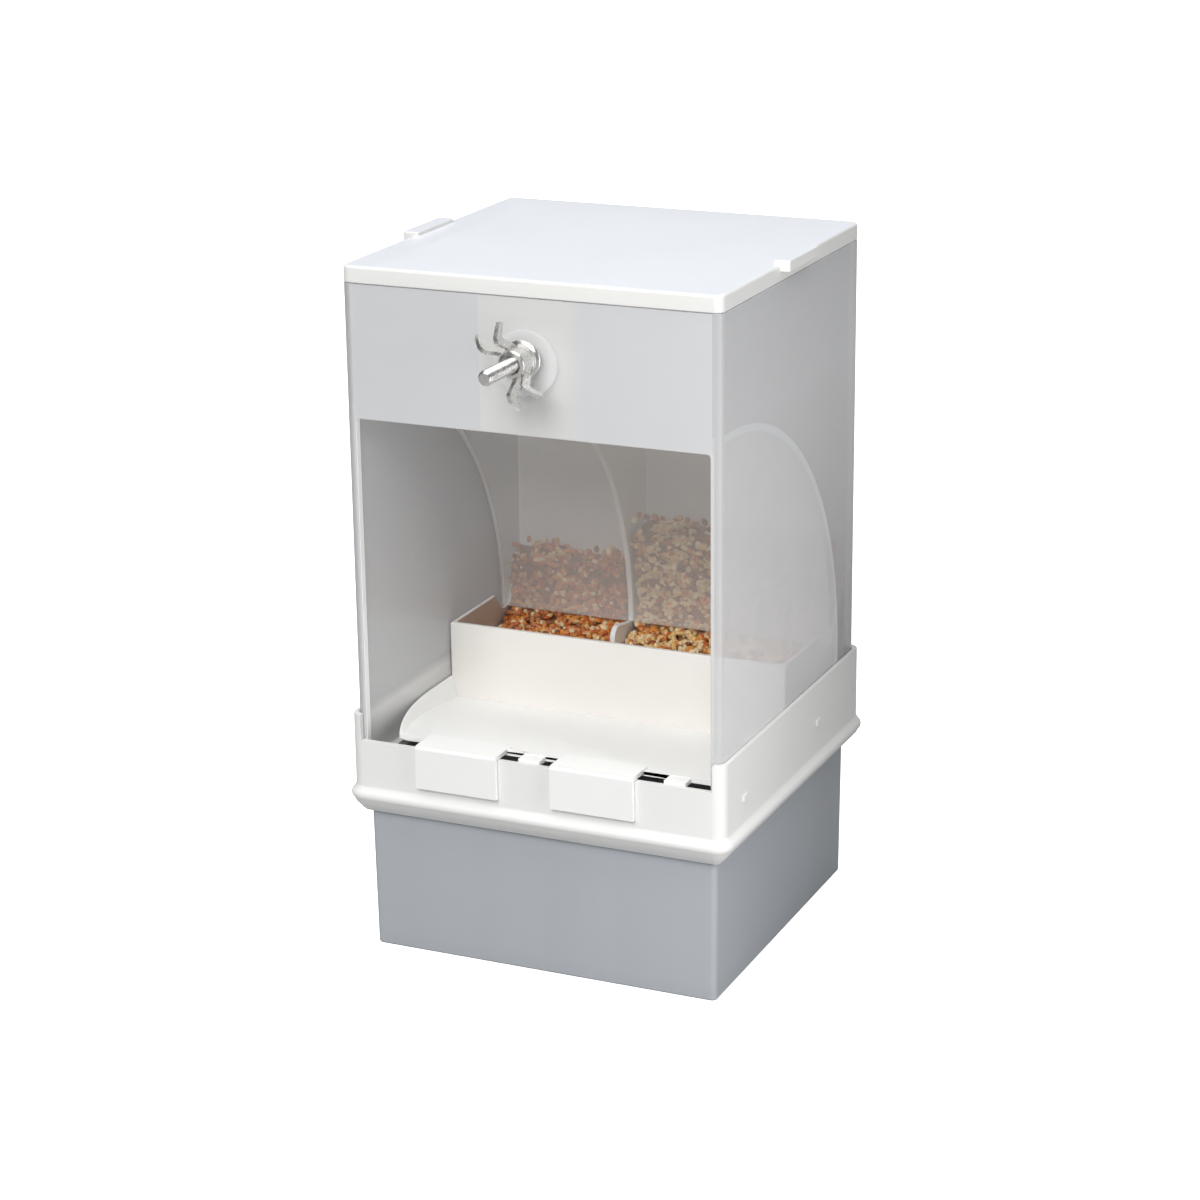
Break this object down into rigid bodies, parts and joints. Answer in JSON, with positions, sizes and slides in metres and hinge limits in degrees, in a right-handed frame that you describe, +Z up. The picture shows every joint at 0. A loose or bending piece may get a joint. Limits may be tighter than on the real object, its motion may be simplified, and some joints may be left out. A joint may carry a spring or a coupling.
{
  "type": "gravity bird feeder",
  "caption": "Frosted plastic gravity seed feeder with a front window, curved hood, seed trough, husk apron, collar, pull-off husk tub, lift-off lid and a wing-nut clamp for cage bars.",
  "frame": {"origin": "centre of the husk tub's underside, where the feeder stands", "axes": "+Z up, -Y towards the window and the cage bars, X across the width"},
  "size_m": [0.1104, 0.1289, 0.1903],
  "materials": {
    "tub_plastic": "frosted translucent, cool grey",
    "collar_plastic": "opaque white, satin",
    "shell_plastic": "frosted translucent, glossy",
    "hood_plastic": "frosted translucent, glossy",
    "divider_plastic": "opaque white, satin",
    "trough_plastic": "opaque warm white, satin",
    "apron_plastic": "opaque bright white, satin",
    "guard_plastic": "frosted translucent",
    "lid_plastic": "frosted translucent, faintly blue",
    "plated_steel": "bright zinc plating",
    "soft_rubber": "matt",
    "clear_plastic": "clear, slightly milky",
    "red_seed": "mixed reddish millet grains",
    "yellow_seed": "mixed yellow millet grains"
  },
  "bodies": {
    "tub": {"husk_tub": "tub_plastic"},
    "collar": {"collar_frame": "collar_plastic"},
    "housing": {"housing_shell": "shell_plastic", "seed_hood": "hood_plastic", "hopper_divider": "divider_plastic", "seed_trough": "trough_plastic", "husk_apron": "apron_plastic", "bolt_guard": "guard_plastic", "clamp_bolt": "plated_steel", "backing_washer": "soft_rubber", "seed_heap_left": "red_seed", "seed_heap_right": "yellow_seed"},
    "cover": {"lid": "lid_plastic"},
    "washer": {"clamp_washer": "clear_plastic"},
    "wing": {"wing_nut": "plated_steel"}
  },
  "joints": [
    {"name": "collar_lift", "type": "slide", "parent": "tub", "child": "collar", "axis": [0, 0, 1], "range_m": [0, 0.04]},
    {"name": "housing_lift", "type": "slide", "parent": "collar", "child": "housing", "axis": [0, 0, 1], "range_m": [0, 0.03]},
    {"name": "lid_lift", "type": "slide", "parent": "housing", "child": "cover", "axis": [0, 0, 1], "range_m": [0, 0.04]},
    {"name": "washer_travel", "type": "slide", "parent": "housing", "child": "washer", "axis": [0, -1, 0], "range_m": [0, 0.0145]},
    {"name": "wing_spin", "type": "hinge", "parent": "washer", "child": "wing", "pos_m": [0, -0.0527, 0.1696], "axis": [0, -1, 0], "range_deg": [0, 7455]}
  ],
  "couplings": [
    {"joint": "washer_travel", "follows": "wing_spin", "m_per_rad": 0.00011141}
  ]
}
